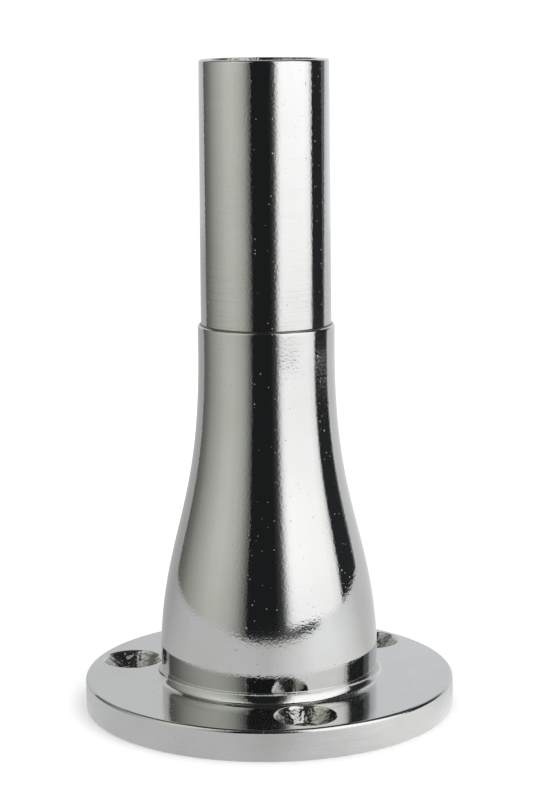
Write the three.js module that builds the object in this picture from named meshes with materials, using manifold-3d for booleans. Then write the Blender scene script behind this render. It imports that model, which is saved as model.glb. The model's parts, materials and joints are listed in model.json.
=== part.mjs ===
// Stanchion base: a screw-down deck fitting that holds the foot of a rail stanchion upright.
// Millimetres, +Z up. The origin is the centre of the flange's underside; +Z is the tube's axis.
//
// A round flange carries a hollow flared body. A thick-walled tube runs up through both, with a
// turned step that seats on the body's neck. Its lower end is welded in a bevel under the flange,
// the body's foot is welded to the flange, and the seat is closed with a ring of braze. The last
// 50 mm of the tube stand free as the spigot.
import * as THREE from "three";
import { mergeVertices } from "three/addons/utils/BufferGeometryUtils.js";
import Module from "manifold-3d";

const wasm = await Module();
wasm.setup();

// Every round piece is turned with the same number of facets, so that close fits stay parallel.
const FACETS = 72;
const DRILL_FACETS = 32;
const FIT_GAP = 0.05;

// Mounting flange
const FLANGE_RADIUS = 36;
const FLANGE_THICKNESS = 6;
const FLANGE_TOP_ROUND = 0.7;
const FLANGE_BOTTOM_CHAMFER = 0.3;
const STEP_RADIUS = 18.6;
const STEP_HEIGHT = 1.5;

// Three holes for M6 countersunk screws
const SCREW_COUNT = 3;
const FIRST_SCREW_ANGLE = THREE.MathUtils.degToRad(43.5);
const SCREW_CIRCLE_RADIUS = 28.5;
const SCREW_HOLE_RADIUS = 3.3;
const COUNTERSINK_RADIUS = 5.9;
const DRILL_OVERRUN = 1;

// Bell body
const FOOT_BASE_RADIUS = 21.05;
const FOOT_BAND_RADIUS = 21.2;
const FOOT_BAND_TOP = 12.4;
const FOOT_LEAN = THREE.MathUtils.degToRad(3);
const FOOT_HANDLE = 23;
const NECK_RADIUS = 13.1;
const NECK_START = 70;
const NECK_HANDLE = 31;
const SHOULDER_HEIGHT = 75;
const LIP_WIDTH = 0.4;
const LIP_DROP = 1.2;
const CAVITY_FOOT_RADIUS = STEP_RADIUS + FIT_GAP;
const CAVITY_FOOT_TOP = 9;
const CAVITY_FOOT_HANDLE = 22;
const CAVITY_NECK_START = 58;
const CAVITY_NECK_HANDLE = 24;

// Spigot tube: a stem inside the body, and the free spigot above the step
const STEM_RADIUS = 11.9;
const STEM_BORE_RADIUS = STEM_RADIUS + FIT_GAP;
const TUBE_RADIUS = 12.5;
const TUBE_RIM_RADIUS = 12.25;
const TUBE_BORE_RADIUS = 10;
const TUBE_BOTTOM = 2.4;
const TUBE_TOP = 125;
const RIM_ROUND = 0.5;
const RIM_BORE_CHAMFER = 0.35;

// Welds and braze
const FILLET_WIDTH = 1.2;
const FILLET_HEIGHT = 2.1;
const BRAZE_RISE = 0.25;
const BEVEL_DEPTH = TUBE_BOTTOM;
const WELD_DISH = 0.3;
const WELD_TOE = 1.6;

const point = (radius, height) => new THREE.Vector2(radius, height);

// Points along part of an ellipse, with angles in degrees from the outward direction.
function arc(centreR, centreZ, semiR, semiZ, fromDeg, toDeg, steps) {
  const points = [];
  for (let i = 0; i <= steps; i += 1) {
    const angle = THREE.MathUtils.degToRad(fromDeg + ((toDeg - fromDeg) * i) / steps);
    points.push(point(centreR + semiR * Math.cos(angle), centreZ + semiZ * Math.sin(angle)));
  }
  return points;
}

// An S-shaped outline that leaves one radius leaning inwards and reaches the other straight up.
function flare(lowR, lowZ, lowHandle, lean, highR, highZ, highHandle, steps) {
  const curve = new THREE.CubicBezierCurve(
    point(lowR, lowZ),
    point(lowR - lowHandle * Math.sin(lean), lowZ + lowHandle * Math.cos(lean)),
    point(highR, highZ - highHandle),
    point(highR, highZ),
  );
  return curve.getPoints(steps);
}

// A turned solid about +Z. The outline runs anticlockwise with the radius to the right.
function turn(outline, facets = FACETS) {
  const geometry = new THREE.LatheGeometry(outline, facets);
  geometry.rotateX(Math.PI / 2);
  return geometry;
}

// A turned ring: the outline closes on itself and stays clear of the axis.
function turnRing(outline) {
  return turn([...outline, outline[0].clone()]);
}

function toManifold(geometry) {
  const bare = geometry.clone();
  bare.deleteAttribute("normal");
  bare.deleteAttribute("uv");
  const merged = mergeVertices(bare, 1e-4);
  const vertProperties = new Float32Array(merged.attributes.position.array);
  const triVerts = new Uint32Array(merged.index.array);
  return new wasm.Manifold(new wasm.Mesh({ numProp: 3, vertProperties, triVerts }));
}

function toGeometry(manifold) {
  const mesh = manifold.getMesh();
  const geometry = new THREE.BufferGeometry();
  geometry.setAttribute("position", new THREE.BufferAttribute(mesh.vertProperties, 3));
  geometry.setIndex(new THREE.BufferAttribute(mesh.triVerts, 1));
  geometry.computeVertexNormals();
  return geometry;
}

// Clearance hole and 90 degree countersink as one turned tool, standing on the Z axis.
function screwTool() {
  const coneDepth = COUNTERSINK_RADIUS - SCREW_HOLE_RADIUS;
  return turn(
    [
      point(0, -DRILL_OVERRUN),
      point(SCREW_HOLE_RADIUS, -DRILL_OVERRUN),
      point(SCREW_HOLE_RADIUS, FLANGE_THICKNESS - coneDepth),
      point(COUNTERSINK_RADIUS + DRILL_OVERRUN, FLANGE_THICKNESS + DRILL_OVERRUN),
      point(0, FLANGE_THICKNESS + DRILL_OVERRUN),
    ],
    DRILL_FACETS,
  );
}

function mountingFlange() {
  const roundCentreR = FLANGE_RADIUS - FLANGE_TOP_ROUND;
  const roundCentreZ = FLANGE_THICKNESS - FLANGE_TOP_ROUND;
  const disc = turnRing([
    point(STEM_BORE_RADIUS + BEVEL_DEPTH, 0),
    point(FLANGE_RADIUS - FLANGE_BOTTOM_CHAMFER, 0),
    point(FLANGE_RADIUS, FLANGE_BOTTOM_CHAMFER),
    ...arc(roundCentreR, roundCentreZ, FLANGE_TOP_ROUND, FLANGE_TOP_ROUND, 0, 90, 4),
    point(STEP_RADIUS, FLANGE_THICKNESS),
    point(STEP_RADIUS, FLANGE_THICKNESS + STEP_HEIGHT),
    point(STEM_BORE_RADIUS, FLANGE_THICKNESS + STEP_HEIGHT),
    point(STEM_BORE_RADIUS, BEVEL_DEPTH),
  ]);
  let solid = toManifold(disc);
  for (let i = 0; i < SCREW_COUNT; i += 1) {
    const angle = FIRST_SCREW_ANGLE + (i * 2 * Math.PI) / SCREW_COUNT;
    const tool = screwTool();
    tool.translate(SCREW_CIRCLE_RADIUS * Math.cos(angle), SCREW_CIRCLE_RADIUS * Math.sin(angle), 0);
    solid = solid.subtract(toManifold(tool));
  }
  return toGeometry(solid);
}

function bellBody() {
  const outside = flare(
    FOOT_BAND_RADIUS, FOOT_BAND_TOP, FOOT_HANDLE, FOOT_LEAN,
    NECK_RADIUS, NECK_START, NECK_HANDLE, 18,
  );
  const cavity = flare(
    CAVITY_FOOT_RADIUS, CAVITY_FOOT_TOP, CAVITY_FOOT_HANDLE, 0,
    STEM_BORE_RADIUS, CAVITY_NECK_START, CAVITY_NECK_HANDLE, 12,
  );
  const lipCentreR = NECK_RADIUS - LIP_WIDTH;
  return turnRing([
    point(CAVITY_FOOT_RADIUS, FLANGE_THICKNESS),
    point(FOOT_BASE_RADIUS, FLANGE_THICKNESS),
    ...outside,
    ...arc(lipCentreR, SHOULDER_HEIGHT - LIP_DROP, LIP_WIDTH, LIP_DROP, 0, 90, 4),
    point(STEM_BORE_RADIUS, SHOULDER_HEIGHT),
    ...cavity.reverse(),
  ]);
}

function spigotTube() {
  const roundCentreR = TUBE_RIM_RADIUS - RIM_ROUND;
  const seatZ = SHOULDER_HEIGHT + FIT_GAP;
  return turnRing([
    point(TUBE_BORE_RADIUS, TUBE_BOTTOM),
    point(STEM_RADIUS, TUBE_BOTTOM),
    point(STEM_RADIUS, seatZ),
    point(TUBE_RADIUS, seatZ),
    ...arc(roundCentreR, TUBE_TOP - RIM_ROUND, RIM_ROUND, RIM_ROUND, 0, 90, 3),
    point(TUBE_BORE_RADIUS + RIM_BORE_CHAMFER, TUBE_TOP),
    point(TUBE_BORE_RADIUS, TUBE_TOP - RIM_BORE_CHAMFER),
  ]);
}

// Concave fillet round the body's foot, taller than it is wide.
function footWeldFillet() {
  const innerR = FOOT_BASE_RADIUS + 2 * FIT_GAP;
  const baseZ = FLANGE_THICKNESS + FIT_GAP;
  const hollow = arc(
    innerR + FILLET_WIDTH, baseZ + FILLET_HEIGHT,
    FILLET_WIDTH, FILLET_HEIGHT, 270, 180, 6,
  );
  return turnRing([point(innerR, baseZ), ...hollow]);
}

// Braze in the corner between the tube and the ledge of the body's neck.
function neckBrazeRing() {
  const innerR = TUBE_RADIUS + FIT_GAP / 2;
  const outerR = NECK_RADIUS - LIP_WIDTH;
  const ledgeZ = SHOULDER_HEIGHT + FIT_GAP / 2;
  return turnRing([
    point(innerR, ledgeZ),
    point(outerR, ledgeZ),
    point(innerR, ledgeZ + BRAZE_RISE),
  ]);
}

// Weld in the bevel under the flange, dished so that the underside still sits flat.
function rootWeldRing() {
  const toeR = STEM_RADIUS - WELD_TOE;
  const rootZ = BEVEL_DEPTH - FIT_GAP;
  const outerR = STEM_RADIUS + BEVEL_DEPTH - WELD_DISH - FIT_GAP;
  return turnRing([
    point(toeR, rootZ),
    point(toeR + WELD_DISH, rootZ - 3 * WELD_DISH),
    point(STEM_RADIUS, 2 * WELD_DISH),
    point(outerR, WELD_DISH),
    point(STEM_RADIUS, rootZ),
  ]);
}

function piece(name, geometry, colour, roughness) {
  const material = new THREE.MeshStandardMaterial({ color: colour, roughness, metalness: 1 });
  const mesh = new THREE.Mesh(geometry, material);
  mesh.name = name;
  return mesh;
}

const stanchionBase = new THREE.Group();
stanchionBase.add(
  piece("mounting_flange", mountingFlange(), 0xc9ccce, 0.12),
  piece("bell_body", bellBody(), 0xd2d4d4, 0.06),
  piece("spigot_tube", spigotTube(), 0xd0d2d1, 0.08),
  piece("foot_weld_fillet", footWeldFillet(), 0xcccfd0, 0.1),
  piece("neck_braze_ring", neckBrazeRing(), 0x4a3a34, 0.35),
  piece("root_weld_ring", rootWeldRing(), 0x9b9a97, 0.4),
);

export default stanchionBase;
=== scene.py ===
"""A mirror-polished stanchion base on a pale studio floor.

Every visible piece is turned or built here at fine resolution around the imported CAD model, in
metres. The picture shows a pale floor and a white surround. In the floor's place, reflections
see a table, six cards, darkness below and a dim disc above, which the camera doesn't see.
"""

import json
import math

import bmesh
import bpy
from mathutils import Matrix, Vector, noise
from mathutils.geometry import delaunay_2d_cdt


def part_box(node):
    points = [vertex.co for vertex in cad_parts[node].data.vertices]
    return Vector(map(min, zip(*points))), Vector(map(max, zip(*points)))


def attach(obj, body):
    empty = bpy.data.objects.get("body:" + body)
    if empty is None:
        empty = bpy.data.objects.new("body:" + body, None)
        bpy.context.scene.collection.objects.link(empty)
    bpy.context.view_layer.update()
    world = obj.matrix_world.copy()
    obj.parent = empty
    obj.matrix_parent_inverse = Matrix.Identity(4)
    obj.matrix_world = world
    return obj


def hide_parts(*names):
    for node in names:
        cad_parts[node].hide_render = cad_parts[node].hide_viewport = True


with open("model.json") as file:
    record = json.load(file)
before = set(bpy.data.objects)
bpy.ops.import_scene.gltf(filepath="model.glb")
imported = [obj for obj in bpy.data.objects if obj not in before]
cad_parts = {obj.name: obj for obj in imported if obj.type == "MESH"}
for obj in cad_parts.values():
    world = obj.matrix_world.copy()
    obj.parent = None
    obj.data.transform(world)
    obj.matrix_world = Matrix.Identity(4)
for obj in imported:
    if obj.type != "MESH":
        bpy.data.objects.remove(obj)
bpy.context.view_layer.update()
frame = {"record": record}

MM = 0.001
SEGMENTS = 256
HOLE_SEGMENTS = 128

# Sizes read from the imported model, in millimetres
bell_low, bell_high = (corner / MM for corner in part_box("bell_body"))
_, flange_high = (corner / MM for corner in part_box("mounting_flange"))
tube_low, tube_high = (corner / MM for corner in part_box("spigot_tube"))
_, fillet_high = (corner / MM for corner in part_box("foot_weld_fillet"))
weld_low, weld_high = (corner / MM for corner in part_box("root_weld_ring"))

DECK = bell_low.z
FLANGE_R = flange_high.x
STEP_TOP = flange_high.z
FOOT_R = bell_high.x
SHOULDER = bell_high.z
TUBE_R = tube_high.x
TUBE_TOP = tube_high.z
TUBE_END = tube_low.z
FILLET_R = fillet_high.x
FILLET_TOP = fillet_high.z

# Sizes that a box doesn't show, as the CAD model has them
FIT_GAP = 0.05
FOOT_BASE_R = 21.05
FOOT_BAND_TOP = 12.4
FOOT_LEAN = math.radians(3)
FOOT_HANDLE = 23
NECK_START = 70
NECK_HANDLE = 31
CAVITY_FOOT_TOP = 9
CAVITY_FOOT_HANDLE = 22
CAVITY_NECK_START = 58
CAVITY_NECK_HANDLE = 24
STEP_R = 18.6
STEM_R = 11.9
STEM_BORE_R = 11.95
BORE_R = 10.0
RIM_R = 12.25
NECK_R = 13.1
SCREW_R = 3.3
COUNTERSINK_R = 5.9


# ---------------------------------------------------------------- outlines and meshes


def rounded(corners, steps=6):
    """A closed outline of (radius, height, zone) from corners (radius, height, fillet, zone)."""
    outline = []
    for i, (r, z, fillet, zone) in enumerate(corners):
        here = Vector((r, z))
        if not fillet:
            outline.append((r, z, zone))
            continue
        back = (Vector(corners[i - 1][:2]) - here).normalized()
        ahead = (Vector(corners[(i + 1) % len(corners)][:2]) - here).normalized()
        half = back.angle(ahead) / 2
        centre = here + (back + ahead).normalized() * fillet / math.sin(half)
        start = (here + back * fillet / math.tan(half) - centre).normalized()
        end = (here + ahead * fillet / math.tan(half) - centre).normalized()
        sweep = start.angle(end)
        for k in range(steps + 1):
            t = k / steps
            turned = start * math.sin((1 - t) * sweep) + end * math.sin(t * sweep)
            spot = centre + turned / math.sin(sweep) * fillet
            outline.append((spot.x, spot.y, zone))
    return outline


def divided(start, end, count, zone):
    """Corners along a straight line, without its end."""
    spots = [Vector(start).lerp(Vector(end), k / count) for k in range(count)]
    return [(spot.x, spot.y, 0, zone) for spot in spots]


def flare(low, low_handle, lean, high, high_handle, count, zone):
    """Corners along an S-shaped curve that starts leaning inwards and ends straight up."""
    handle = Vector((-low_handle * math.sin(lean), low_handle * math.cos(lean)))
    points = [Vector(low), Vector(low) + handle,
              Vector((high[0], high[1] - high_handle)), Vector(high)]
    corners = []
    for k in range(count + 1):
        t = k / count
        weights = ((1 - t) ** 3, 3 * (1 - t) ** 2 * t, 3 * (1 - t) * t * t, t ** 3)
        spot = sum((p * w for p, w in zip(points, weights)), Vector((0, 0)))
        corners.append((spot.x, spot.y, 0, zone))
    return corners


def turn(bm, outline, closed=True, centre=(0, 0), segments=SEGMENTS):
    """Adds an outline turned about a vertical axis, in metres, and returns its rings."""
    rings = []
    for r, z, _ in outline:
        ring = []
        for k in range(segments):
            angle = 2 * math.pi * k / segments
            x = centre[0] + r * math.cos(angle)
            y = centre[1] + r * math.sin(angle)
            ring.append(bm.verts.new((x * MM, y * MM, z * MM)))
        rings.append(ring)
    pairs = list(zip(rings, rings[1:], outline))
    if closed:
        pairs.append((rings[-1], rings[0], outline[-1]))
    for low, high, (_, _, zone) in pairs:
        for k in range(segments):
            after = (k + 1) % segments
            face = bm.faces.new((low[k], low[after], high[after], high[k]))
            face.material_index = zone
    return rings


def plate(bm, z, loops, zone):
    """Fills the flat area inside the first loop and outside the others, at height z."""
    points, edges = [], []
    for loop in loops:
        first = len(points)
        points += [Vector((v.co.x, v.co.y)) / MM for v in loop]
        count = len(loop)
        edges += [(first + k, first + (k + 1) % count) for k in range(count)]
    outer_r = max(p.length for p in points)
    holes = []
    for loop in loops[1:]:
        middle = sum((v.co.to_2d() for v in loop), Vector((0, 0))) / len(loop) / MM
        holes.append((middle, (loop[0].co.to_2d() / MM - middle).length))
    spots, _, triangles, _, _, _ = delaunay_2d_cdt(points, edges, [], 0, 1e-5)
    verts = [bm.verts.new((p.x * MM, p.y * MM, z * MM)) for p in spots]
    for triangle in triangles:
        middle = sum((spots[i] for i in triangle), Vector((0, 0))) / len(triangle)
        inside_hole = any((middle - c).length < r * 0.9995 for c, r in holes)
        if middle.length < outer_r and not inside_hole:
            face = bm.faces.new([verts[i] for i in triangle])
            face.material_index = zone


def roughen(bm, zone, depth, size, seed, below):
    """Moves one zone's points below a height in and out, as cast metal is uneven."""
    bm.normal_update()
    moves = []
    for v in bm.verts:
        in_zone = all(face.material_index == zone for face in v.link_faces)
        if in_zone and v.co.z < below * MM:
            spot = v.co / (size * MM) + Vector((seed, 0, 0))
            coarse = noise.noise(spot)
            fine = noise.noise(spot * 2.7)
            moves.append((v, v.normal * (coarse + 0.6 * fine) * depth * MM))
    for v, move in moves:
        v.co += move


def finish_piece(name, bm, materials, node):
    """Turns the bmesh into a shaded object that stands for one CAD node."""
    bmesh.ops.remove_doubles(bm, verts=bm.verts, dist=1e-7)
    bmesh.ops.recalc_face_normals(bm, faces=bm.faces)
    mesh = bpy.data.meshes.new(name)
    bm.to_mesh(mesh)
    bm.free()
    mesh.shade_smooth()
    for material in materials:
        mesh.materials.append(material)
    piece = bpy.data.objects.new(name, mesh)
    bpy.context.scene.collection.objects.link(piece)
    weighted = piece.modifiers.new("weighted_normals", "WEIGHTED_NORMAL")
    weighted.weight = 100
    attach(piece, "root")
    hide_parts(node)
    return piece


# ---------------------------------------------------------------- materials


class Nodes:
    """A small helper that adds nodes to one material and joins them."""

    def __init__(self, name):
        self.material = bpy.data.materials.new(name)
        self.material.use_nodes = True
        self.tree = self.material.node_tree
        self.tree.nodes.clear()

    def add(self, kind, inputs=None, **settings):
        node = self.tree.nodes.new(kind)
        for key, value in settings.items():
            setattr(node, key, value)
        for key, value in (inputs or {}).items():
            if isinstance(value, bpy.types.NodeSocket):
                self.tree.links.new(value, node.inputs[key])
            else:
                node.inputs[key].default_value = value
        return node

    def math(self, operation, a, b):
        return self.add("ShaderNodeMath", {0: a, 1: b}, operation=operation).outputs[0]

    def ranged(self, value, low, high, to_low, to_high):
        node = self.add("ShaderNodeMapRange", {
            "Value": value, "From Min": low, "From Max": high,
            "To Min": to_low, "To Max": to_high,
        })
        return node.outputs["Result"]

    def surface(self, shader):
        out = self.add("ShaderNodeOutputMaterial")
        self.tree.links.new(shader.outputs[0], out.inputs["Surface"])

    def noise(self, where, scale, detail=2.0):
        node = self.add("ShaderNodeTexNoise", {
            "Vector": where, "Scale": scale, "Detail": detail,
        })
        return node.outputs["Fac"]


MICROMETRE = 1e-6
SCRATCH_DEPTH = 3.0


def turning_marks(n, where, streaks):
    """Fine lines round Z, as a height, a darkness up to streaks, and where they are."""
    z = n.add("ShaderNodeSeparateXYZ", {"Vector": where}).outputs["Z"]
    stretched = n.add("ShaderNodeMapping", {
        "Vector": where, "Scale": (150.0, 150.0, 2600.0),
    }).outputs["Vector"]
    lines = n.noise(stretched, 1.0, 3.0)

    # They show most beside the shoulder, and in patches elsewhere
    off_shoulder = n.math("ABSOLUTE", n.math("SUBTRACT", z, SHOULDER * MM), 0.0)
    beside = n.ranged(off_shoulder, 0.0, 0.016, 1.0, 0.35)
    patchy = n.ranged(n.noise(where, 70.0, 3.0), 0.42, 0.60, 0.1, 1.0)
    worn = n.math("MULTIPLY", beside, patchy)
    height = n.math("MULTIPLY", lines, worn)
    darkness = n.math("MULTIPLY", n.ranged(lines, 0.38, 0.62, 0.0, streaks), worn)
    return height, darkness, worn


def pinholes(n, where):
    """Round pits of many sizes: a few cells of many have one."""
    cells = n.add("ShaderNodeTexVoronoi", {"Vector": where, "Scale": 2600.0})
    lottery = n.add("ShaderNodeSeparateColor", {"Color": cells.outputs["Color"]}).outputs
    chosen = n.ranged(lottery["Red"], 0.960, 0.965, 0.0, 1.0)
    reach = n.ranged(lottery["Green"], 0.0, 1.0, 2.0, 6.0)
    nearness = n.math("MULTIPLY", cells.outputs["Distance"], reach)
    return n.math("MULTIPLY", n.ranged(nearness, 0.3, 1.0, 1.0, 0.0), chosen)


def scratches(n, where):
    """Hairlines that follow a level line of a slow pattern, broken up by another."""
    off_line = n.math("ABSOLUTE", n.math("SUBTRACT", n.noise(where, 60.0, 0.5), 0.5), 0.0)
    hairline = n.ranged(off_line, 0.0004, 0.0022, 1.0, 0.0)
    broken = n.ranged(n.noise(where, 230.0, 2.0), 0.56, 0.62, 0.0, 1.0)
    return n.math("MULTIPLY", hairline, broken)


def polished_metal(name, colour, roughness, peel, waves, lines, pits, grain=2000.0, streaks=0.0):
    """Bright metal. peel, waves, lines and pits are heights in micrometres of the polish's fine
    uneven skin, its long shallow waves, the turning lines round Z and the pinholes. streaks is
    how much the turning lines show as darker lines."""
    n = Nodes(name)
    where = n.add("ShaderNodeTexCoord").outputs["Object"]
    skin = n.noise(where, grain, 2.0)
    wave = n.noise(where, 55.0, 1.0)
    smudge = n.noise(where, 90.0, 5.0)
    line, streak, worn = turning_marks(n, where, streaks)
    pit = pinholes(n, where)
    scratch = scratches(n, where)

    height = n.math("MULTIPLY", skin, peel * MICROMETRE)
    sizes = ((wave, waves), (line, lines), (pit, -pits), (scratch, -SCRATCH_DEPTH))
    for pattern, size in sizes:
        part = n.math("MULTIPLY", pattern, size * MICROMETRE)
        height = n.math("ADD", height, part)
    bump = n.add("ShaderNodeBump", {"Strength": 1.0, "Distance": 1.0, "Height": height})

    # Smudges are a little warmer, and streaks are darker
    tone = n.add("ShaderNodeMix", {
        "Factor": n.ranged(smudge, 0.3, 0.7, 0.0, 1.0),
        "A": (*colour, 1.0),
        "B": (colour[0] * 0.96, colour[1] * 0.95, colour[2] * 0.92, 1.0),
    }, data_type="RGBA").outputs["Result"]
    tone = n.add("ShaderNodeMix", {
        "Factor": streak, "A": tone, "B": (*(c * 0.8 for c in colour), 1.0),
    }, data_type="RGBA").outputs["Result"]

    # Pinholes and worn patches are duller
    rough = n.ranged(smudge, 0.35, 0.75, roughness * 0.7, roughness * 1.5)
    rough = n.math("ADD", rough, n.math("MULTIPLY", pit, 0.6))
    rough = n.math("ADD", rough, n.math("MULTIPLY", worn, 0.05))
    shader = n.add("ShaderNodeBsdfPrincipled", {
        "Base Color": tone, "Metallic": 1.0, "Roughness": rough,
        "Normal": bump.outputs["Normal"],
    })
    n.surface(shader)
    return n.material


CHROME = (0.555, 0.56, 0.56)
tube_metal = polished_metal("tube_chrome", CHROME, 0.06, 15.0, 20.0, 6.0, 22.0, streaks=0.5)
bell_metal = polished_metal("bell_chrome", CHROME, 0.055, 11.0, 20.0, 3.0, 20.0, streaks=0.16)
deck_metal = polished_metal("flange_chrome", CHROME, 0.10, 10.0, 26.0, 0.0, 16.0)
edge_metal = polished_metal(
    "flange_edge", (0.545, 0.55, 0.55), 0.22, 9.0, 20.0, 30.0, 14.0, streaks=0.9)
fillet_metal = polished_metal("fillet_chrome", CHROME, 0.08, 12.0, 20.0, 1.5, 12.0)
cast_metal = polished_metal("cast_skin", (0.37, 0.37, 0.36), 0.10, 70.0, 60.0, 0.0, 60.0, 1800.0)
bore_metal = polished_metal("bore_skin", (0.40, 0.40, 0.39), 0.08, 130.0, 60.0, 0.0, 60.0, 2000.0)
under_metal = polished_metal("ground_underside", (0.46, 0.46, 0.45), 0.3, 10.0, 20.0, 0.0, 20.0)
braze_metal = polished_metal("braze_skin", (0.20, 0.15, 0.13), 0.3, 12.0, 20.0, 0.0, 10.0)
weld_metal = polished_metal("weld_skin", (0.40, 0.385, 0.37), 0.28, 14.0, 40.0, 0.0, 20.0)


# ---------------------------------------------------------------- pieces


def screw_centres():
    """The screw holes' centres in millimetres, from the openings that the record states."""
    centres = []
    for opening in frame["record"]["physics"]["openings"]:
        if opening["name"].startswith("screw_hole"):
            low, high = opening["box_m"]
            centres.append(((low[0] + high[0]) / 2 / MM, (low[1] + high[1]) / 2 / MM))
    return centres


def flange_plate():
    top, edge, cast, under = range(4)
    lip = 0.22
    bevel_r = STEM_BORE_R + TUBE_END
    rim = rounded([
        (FLANGE_R - 4, 0, 0, under),
        (FLANGE_R, 0, 0.35, edge),
        (FLANGE_R, DECK, 0.75, top),
        (FLANGE_R - 4, DECK, 0, top),
    ])[1:-1]
    inside = rounded([
        (STEP_R + 4, DECK, 0, top),
        (STEP_R, DECK, 0.1, under),
        (STEP_R, STEP_TOP, 0.3, under),
        (STEM_BORE_R, STEP_TOP, 0.2, under),
        (STEM_BORE_R, TUBE_END, 0.1, under),
        (bevel_r, 0, 0.15, under),
        (bevel_r + 4, 0, 0, under),
    ])[1:-1]
    cone_end = DECK - (COUNTERSINK_R - SCREW_R)
    cone = divided((COUNTERSINK_R - lip, DECK - lip), (SCREW_R, cone_end), 14, cast)
    wall = divided((SCREW_R, cone_end), (SCREW_R, 0.3), 10, cast)
    drill = rounded([
        (COUNTERSINK_R + 2, DECK, 0, top),
        (COUNTERSINK_R, DECK, lip, top),
        *cone[1:],
        *wall,
        (SCREW_R, 0, 0.15, under),
        (SCREW_R + 2, 0, 0, under),
    ])[1:-1]
    bm = bmesh.new()
    rim_rings = turn(bm, rim, closed=False)
    inside_rings = turn(bm, inside, closed=False)
    top_loops = [rim_rings[-1], inside_rings[0]]
    under_loops = [rim_rings[0], inside_rings[-1]]
    for centre in screw_centres():
        rings = turn(bm, drill, closed=False, centre=centre, segments=HOLE_SEGMENTS)
        top_loops.append(rings[0])
        under_loops.append(rings[-1])
    plate(bm, DECK, top_loops, top)
    plate(bm, 0, under_loops, under)
    bmesh.ops.remove_doubles(bm, verts=bm.verts, dist=1e-7)
    bmesh.ops.recalc_face_normals(bm, faces=bm.faces)
    roughen(bm, cast, 0.11, 0.85, 3, DECK)
    materials = [deck_metal, edge_metal, cast_metal, under_metal]
    return finish_piece("flange_plate", bm, materials, "mounting_flange")


def bell_shell():
    outer, inner = range(2)
    cavity_foot_r = STEP_R + FIT_GAP
    cavity = flare(
        (cavity_foot_r, CAVITY_FOOT_TOP), CAVITY_FOOT_HANDLE, 0,
        (STEM_BORE_R, CAVITY_NECK_START), CAVITY_NECK_HANDLE, 24, inner)
    side = flare(
        (FOOT_R, FOOT_BAND_TOP), FOOT_HANDLE, FOOT_LEAN,
        (NECK_R, NECK_START), NECK_HANDLE, 64, outer)
    outline = rounded([
        (cavity_foot_r, DECK, 0.15, inner),
        (FOOT_BASE_R, DECK, 0.1, outer),
        (FOOT_R, FOOT_BAND_TOP, 5.0, outer),
        *side[1:],
        (NECK_R, SHOULDER - 0.7, 0, outer),
        (NECK_R, SHOULDER, 0.42, outer),
        (STEM_BORE_R, SHOULDER, 0.1, inner),
        *cavity[::-1],
    ])
    bm = bmesh.new()
    turn(bm, outline)
    materials = [bell_metal, cast_metal]
    return finish_piece("bell_shell", bm, materials, "bell_body")


def tube_wall():
    outer, bore = range(2)
    seat = SHOULDER + FIT_GAP
    uneven_to = TUBE_TOP - 13
    outline = rounded([
        (BORE_R, TUBE_END, 0, outer),
        (STEM_R, TUBE_END, 0.2, outer),
        (STEM_R, seat, 0.1, outer),
        (TUBE_R, seat, 0.08, outer),
        *divided((TUBE_R, seat + 0.2), (RIM_R + 0.005, TUBE_TOP - 1), 24, outer),
        (RIM_R, TUBE_TOP, 0.5, outer),
        *divided((RIM_R - 0.9, TUBE_TOP), (BORE_R + 0.4, TUBE_TOP), 3, bore),
        (BORE_R, TUBE_TOP, 0.12, bore),
        *divided((BORE_R, TUBE_TOP - 1), (BORE_R, uneven_to), 40, bore),
        *divided((BORE_R, uneven_to), (BORE_R, TUBE_END), 40, bore),
    ])
    bm = bmesh.new()
    turn(bm, outline)
    bmesh.ops.recalc_face_normals(bm, faces=bm.faces)
    roughen(bm, bore, 0.09, 0.9, 7, TUBE_TOP - 0.2)
    materials = [tube_metal, bore_metal]
    return finish_piece("tube_wall", bm, materials, "spigot_tube")


def foot_fillet():
    """A concave ring, feathered on to the bell's foot and the flange's top."""
    inner_r = FOOT_BASE_R + 0.08
    width = FILLET_R - inner_r
    height = FILLET_TOP - DECK
    sunk = 0.15
    outline = [(inner_r - sunk, DECK - sunk, 0), (FILLET_R + sunk, DECK - sunk, 0)]
    for k in range(25):
        angle = math.radians(270 - 90 * k / 24)
        r = FILLET_R + width * math.cos(angle)
        z = FILLET_TOP + height * math.sin(angle)
        outline.append((r, z, 0))
    outline.append((inner_r - sunk, FILLET_TOP, 0))
    bm = bmesh.new()
    turn(bm, outline)
    return finish_piece(
        "foot_fillet", bm, [fillet_metal], "foot_weld_fillet")


def braze_bead():
    outline = rounded([
        (TUBE_R - 0.05, SHOULDER - 0.02, 0, 0),
        (NECK_R - 0.38, SHOULDER - 0.02, 0.05, 0),
        (NECK_R - 0.42, SHOULDER + 0.12, 0.05, 0),
        (TUBE_R - 0.05, SHOULDER + 0.3, 0, 0),
    ])
    bm = bmesh.new()
    turn(bm, outline)
    return finish_piece("braze_bead", bm, [braze_metal], "neck_braze_ring")


def root_bead():
    """The weld under the flange, with the ripples of its passes."""
    toe = STEM_R - 1.6
    outline = rounded([
        (toe, TUBE_END - 0.05, 0.1, 0),
        (toe + 0.3, 1.5, 0.3, 0),
        (STEM_R, 0.55, 0.8, 0),
        (weld_high.x, weld_low.z, 0.1, 0),
        (STEM_R, TUBE_END - 0.05, 0, 0),
    ])
    bm = bmesh.new()
    turn(bm, outline)
    ripples = 44
    for v in bm.verts:
        if v.co.z < (TUBE_END - 0.2) * MM:
            angle = math.atan2(v.co.y, v.co.x)
            bulge = abs(math.sin(angle * ripples / 2)) - 0.5
            v.co.z -= 0.09 * MM * bulge
    return finish_piece("root_bead", bm, [weld_metal], "root_weld_ring")


flange_plate()
bell_shell()
tube_wall()
foot_fillet()
braze_bead()
root_bead()


# ---------------------------------------------------------------- studio

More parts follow.
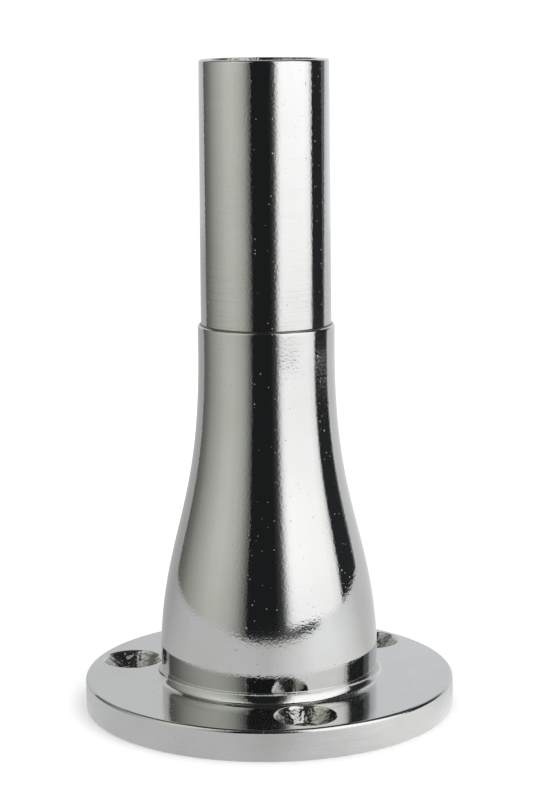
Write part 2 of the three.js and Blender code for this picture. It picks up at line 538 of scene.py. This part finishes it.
CARD_DISTANCE = 0.33
BACK_DISTANCE = 0.9
CARD_TOP = 0.75
LEAN_TOP = 0.12
TABLE_END = -0.22
STAGE_REACH = 3
DARK_DEPTH = 0.3
FLOOR_RADIUS = 6
FLOOR_CURVE = 3


def stage_object(name, mesh, material):
    mesh.materials.append(material)
    thing = bpy.data.objects.new(name, mesh)
    bpy.context.scene.collection.objects.link(thing)
    return thing


def only_in_reflections(thing):
    thing.visible_camera = False
    thing.visible_diffuse = False
    thing.visible_transmission = False
    thing.visible_shadow = False
    thing.visible_volume_scatter = False


def glow(name, build):
    """An emission material whose colour is what build(nodes) returns, brighter than 1 if asked."""
    n = Nodes(name)
    shader = n.add("ShaderNodeEmission", {"Color": build(n), "Strength": 1.0})
    n.surface(shader)
    return n.material


def ramp(n, value, stops, tint):
    """A colour that goes through (position, brightness) stops, times a tint."""
    brightest = max(level for _, level in stops)
    node = n.add("ShaderNodeValToRGB", {"Fac": value})
    node.color_ramp.interpolation = "LINEAR"
    elements = node.color_ramp.elements
    while len(elements) < len(stops):
        elements.new(1.0)
    for element, (position, level) in zip(elements, stops):
        element.position = position
        element.color = (level / brightest,) * 3 + (1.0,)
    scaled = n.add("ShaderNodeVectorMath", {
        0: node.outputs["Color"], 1: tuple(c * brightest for c in tint),
    }, operation="MULTIPLY")
    return scaled.outputs["Vector"]


def azimuth(n):
    """Degrees round the object, 0 towards the camera and positive to the camera's right."""
    where = n.add("ShaderNodeTexCoord").outputs["Object"]
    parts = n.add("ShaderNodeSeparateXYZ", {"Vector": where}).outputs
    towards = n.math("MULTIPLY", parts["Y"], -1.0)
    return n.math("MULTIPLY", n.math("ARCTAN2", parts["X"], towards), 180 / math.pi)


def card(name, start, end, bottom, stops, lean=(0, 0), lift=(0, 0.1), tint=(1, 1, 1),
         distance=CARD_DISTANCE):
    """A curved card round the object between two azimuths.

    stops are (azimuth, brightness). lean is how many degrees the card widens at each end per
    0.1 m of height, up to LEAN_TOP. lift is the share by which it brightens, and the height
    where that is reached.
    """
    bm = bmesh.new()
    count = max(2, round((end - start) / 3))
    heights = [bottom, 0.0, LEAN_TOP, CARD_TOP] if bottom < 0 else [bottom, LEAN_TOP, CARD_TOP]
    rows = []
    for z in heights:
        row = []
        rise = min(z, LEAN_TOP) / 0.1
        for k in range(count + 1):
            low_side = start - lean[0] * rise
            high_side = end + lean[1] * rise
            angle = math.radians(low_side + (high_side - low_side) * k / count)
            x, y = distance * math.sin(angle), -distance * math.cos(angle)
            row.append(bm.verts.new((x, y, z)))
        rows.append(row)
    for low, high in zip(rows, rows[1:]):
        for k in range(count):
            bm.faces.new((low[k], low[k + 1], high[k + 1], high[k]))
    mesh = bpy.data.meshes.new(name)
    bm.to_mesh(mesh)
    bm.free()
    spread = [((a - start) / (end - start), level) for a, level in stops]

    def look(n):
        colour = ramp(n, n.ranged(azimuth(n), start, end, 0.0, 1.0), spread, tint)
        where = n.add("ShaderNodeTexCoord").outputs["Object"]
        z = n.add("ShaderNodeSeparateXYZ", {"Vector": where}).outputs["Z"]
        gain = n.ranged(z, 0.0, lift[1], 1.0, 1.0 + lift[0])
        node = n.add("ShaderNodeVectorMath", {0: colour, "Scale": gain}, operation="SCALE")
        return node.outputs["Vector"]

    only_in_reflections(stage_object(name, mesh, glow(name, look)))


def disc(name, radius, z, material):
    bm = bmesh.new()
    bmesh.ops.create_circle(bm, cap_ends=True, radius=radius, segments=64)
    bmesh.ops.translate(bm, verts=bm.verts, vec=(0, 0, z))
    mesh = bpy.data.meshes.new(name)
    bm.to_mesh(mesh)
    bm.free()
    return stage_object(name, mesh, material)


def flat(name, x0, x1, y0, y1, z, material):
    mesh = bpy.data.meshes.new(name)
    mesh.from_pydata([(x0, y0, z), (x1, y0, z), (x1, y1, z), (x0, y1, z)], [], [(0, 1, 2, 3)])
    return stage_object(name, mesh, material)


def pale_sweep():
    """A floor that rises far away into a wall all round, so that no horizon shows."""
    n = Nodes("pale_floor")
    where = n.add("ShaderNodeTexCoord").outputs["Object"]
    tone = n.add("ShaderNodeMix", {
        "Factor": n.noise(where, 6.0, 3.0),
        "A": (0.95, 0.95, 0.945, 1.0), "B": (0.97, 0.97, 0.97, 1.0),
    }, data_type="RGBA").outputs["Result"]
    shader = n.add("ShaderNodeBsdfPrincipled", {"Base Color": tone, "Roughness": 0.7})
    n.surface(shader)
    bm = bmesh.new()
    outline = [(0.001, 0), (FLOOR_RADIUS, 0)]
    for k in range(1, 17):
        angle = math.radians(90 * k / 16)
        r = FLOOR_RADIUS + FLOOR_CURVE * math.sin(angle)
        outline.append((r, FLOOR_CURVE * (1 - math.cos(angle))))
    outline.append((FLOOR_RADIUS + FLOOR_CURVE, 2 * FLOOR_CURVE))
    turn(bm, [(r / MM, z / MM, 0) for r, z in outline], closed=False, segments=96)
    mesh = bpy.data.meshes.new("floor")
    bm.to_mesh(mesh)
    bm.free()
    mesh.shade_smooth()
    floor = stage_object("floor", mesh, n.material)
    # Reflections see table_light in its place
    floor.visible_glossy = False


def plain_glow(name, level):
    n = Nodes(name)
    shader = n.add("ShaderNodeEmission", {"Color": (level, level, level, 1.0)})
    n.surface(shader)
    return n.material


def table_and_darkness():
    """What reflections see below and above: a table that ends in front of the flange, darkness
    beyond that end, and a dim disc level with the cards' tops."""
    # The table glows: its brightness round the object is painted light and shade, brightest
    # towards the softbox at the front right and dimmest behind at the left.
    table_look = glow("table_light", lambda n: ramp(
        n, n.ranged(azimuth(n), -180, 180, 0.0, 1.0),
        [(0.00, 0.60), (0.15, 0.55), (0.20, 0.68), (0.27, 0.80), (0.38, 0.82), (0.50, 0.78),
         (0.55, 1.00), (0.62, 1.28), (0.68, 1.30), (0.74, 1.10), (0.80, 0.84), (1.00, 0.84)],
        (0.99, 1.0, 1.0)))
    only_in_reflections(flat(
        "table_light", -STAGE_REACH, STAGE_REACH, TABLE_END, STAGE_REACH, 0.0, table_look))
    dark = plain_glow("darkness", 0.02)
    only_in_reflections(flat(
        "dark_below", -STAGE_REACH, STAGE_REACH, -STAGE_REACH, TABLE_END, -DARK_DEPTH, dark))
    dimness = plain_glow("dimness", 0.05)
    only_in_reflections(disc("dim_above", BACK_DISTANCE + 0.05, CARD_TOP, dimness))


def cards():
    """Two pale cards far behind, a grey one at the left, a dark one on the camera's side, and
    at the right the bright softbox with a dark flag behind it."""
    # Every card glows. Apart from the softbox, which stands for a lamp, their brightness round the
    # object and up their height is painted light and shade of lit panels and dark flags.
    card("back_left", -180, -116, 0.0, [(-180, 0.70), (-116, 0.70)], lift=(0.16, 0.24),
         tint=(0.985, 1.0, 1.0), distance=BACK_DISTANCE)
    card("back_right", 112, 180, 0.0, [(112, 0.78), (132, 0.82), (146, 1.02), (180, 0.94)],
         lift=(-0.06, 0.24), tint=(0.97, 1.0, 1.03), distance=BACK_DISTANCE)
    card("left_bounce", -126, -22, -0.1, [
        (-126, 0.15), (-120, 0.20), (-113, 0.25), (-102, 0.41), (-88, 0.56), (-70, 0.73),
        (-58, 0.75), (-44, 0.64), (-36, 0.50), (-29, 0.27), (-22, 0.02)],
        (6, -2), (0.36, 0.3), (1.0, 1.02, 0.94))
    card("camera_side", -24, 56, -0.1, [
        (-24, 0.02), (8, 0.02), (18, 0.10), (30, 0.04), (46, 0.04), (52, 0.5), (56, 0.9)],
        tint=(0.95, 1.0, 1.05), distance=CARD_DISTANCE + 0.02)
    card("softbox", 16, 87, 0.011, [
        (16, 0.12), (19, 0.55), (22, 1.05), (26, 1.38), (32, 1.47), (72, 1.47), (83, 1.28),
        (87, 0.65)],
        (2, 0), (0.2, 0.12))
    card("right_flag", 86, 119, 0.012, [(86, 0.3), (89, 0.03), (117, 0.03), (119, 0.2)],
         (-3, 10), tint=(0.95, 1.0, 1.05))


def lights():
    """Pale light from all round, and a weak square key light above the camera's right."""
    world = bpy.data.worlds.new("studio")
    world.use_nodes = True
    background = world.node_tree.nodes["Background"]
    background.inputs["Color"].default_value = (0.99, 1.0, 1.0, 1.0)
    background.inputs["Strength"].default_value = 1.2
    bpy.context.scene.world = world

    light = bpy.data.lights.new("key", "AREA")
    light.shape = "RECTANGLE"
    light.size, light.size_y = 0.9, 0.9
    light.energy = 4.0
    key = bpy.data.objects.new("key", light)
    bpy.context.scene.collection.objects.link(key)
    key.location = (0.7, -0.5, 1.1)
    key.rotation_euler = Vector(key.location).to_track_quat("Z", "Y").to_euler()
    key.visible_glossy = False
    key.visible_camera = False


def camera():
    distance, height = 0.4086, 0.1360
    pitch, roll, yaw = (math.radians(a) for a in (10.526, -0.512, -0.084))
    data = bpy.data.cameras.new("camera")
    data.lens = 97.17
    data.sensor_width = 36.0
    data.clip_start, data.clip_end = 0.01, 50.0
    thing = bpy.data.objects.new("camera", data)
    bpy.context.scene.collection.objects.link(thing)
    thing.matrix_world = (
        Matrix.Translation((0, -distance, height))
        @ Matrix.Rotation(yaw, 4, "Z")
        @ Matrix.Rotation(math.pi / 2 - pitch, 4, "X")
        @ Matrix.Rotation(roll, 4, "Z")
    )
    bpy.context.scene.camera = thing


pale_sweep()
table_and_darkness()
cards()
lights()
camera()
bpy.context.scene.view_settings.view_transform = "Standard"
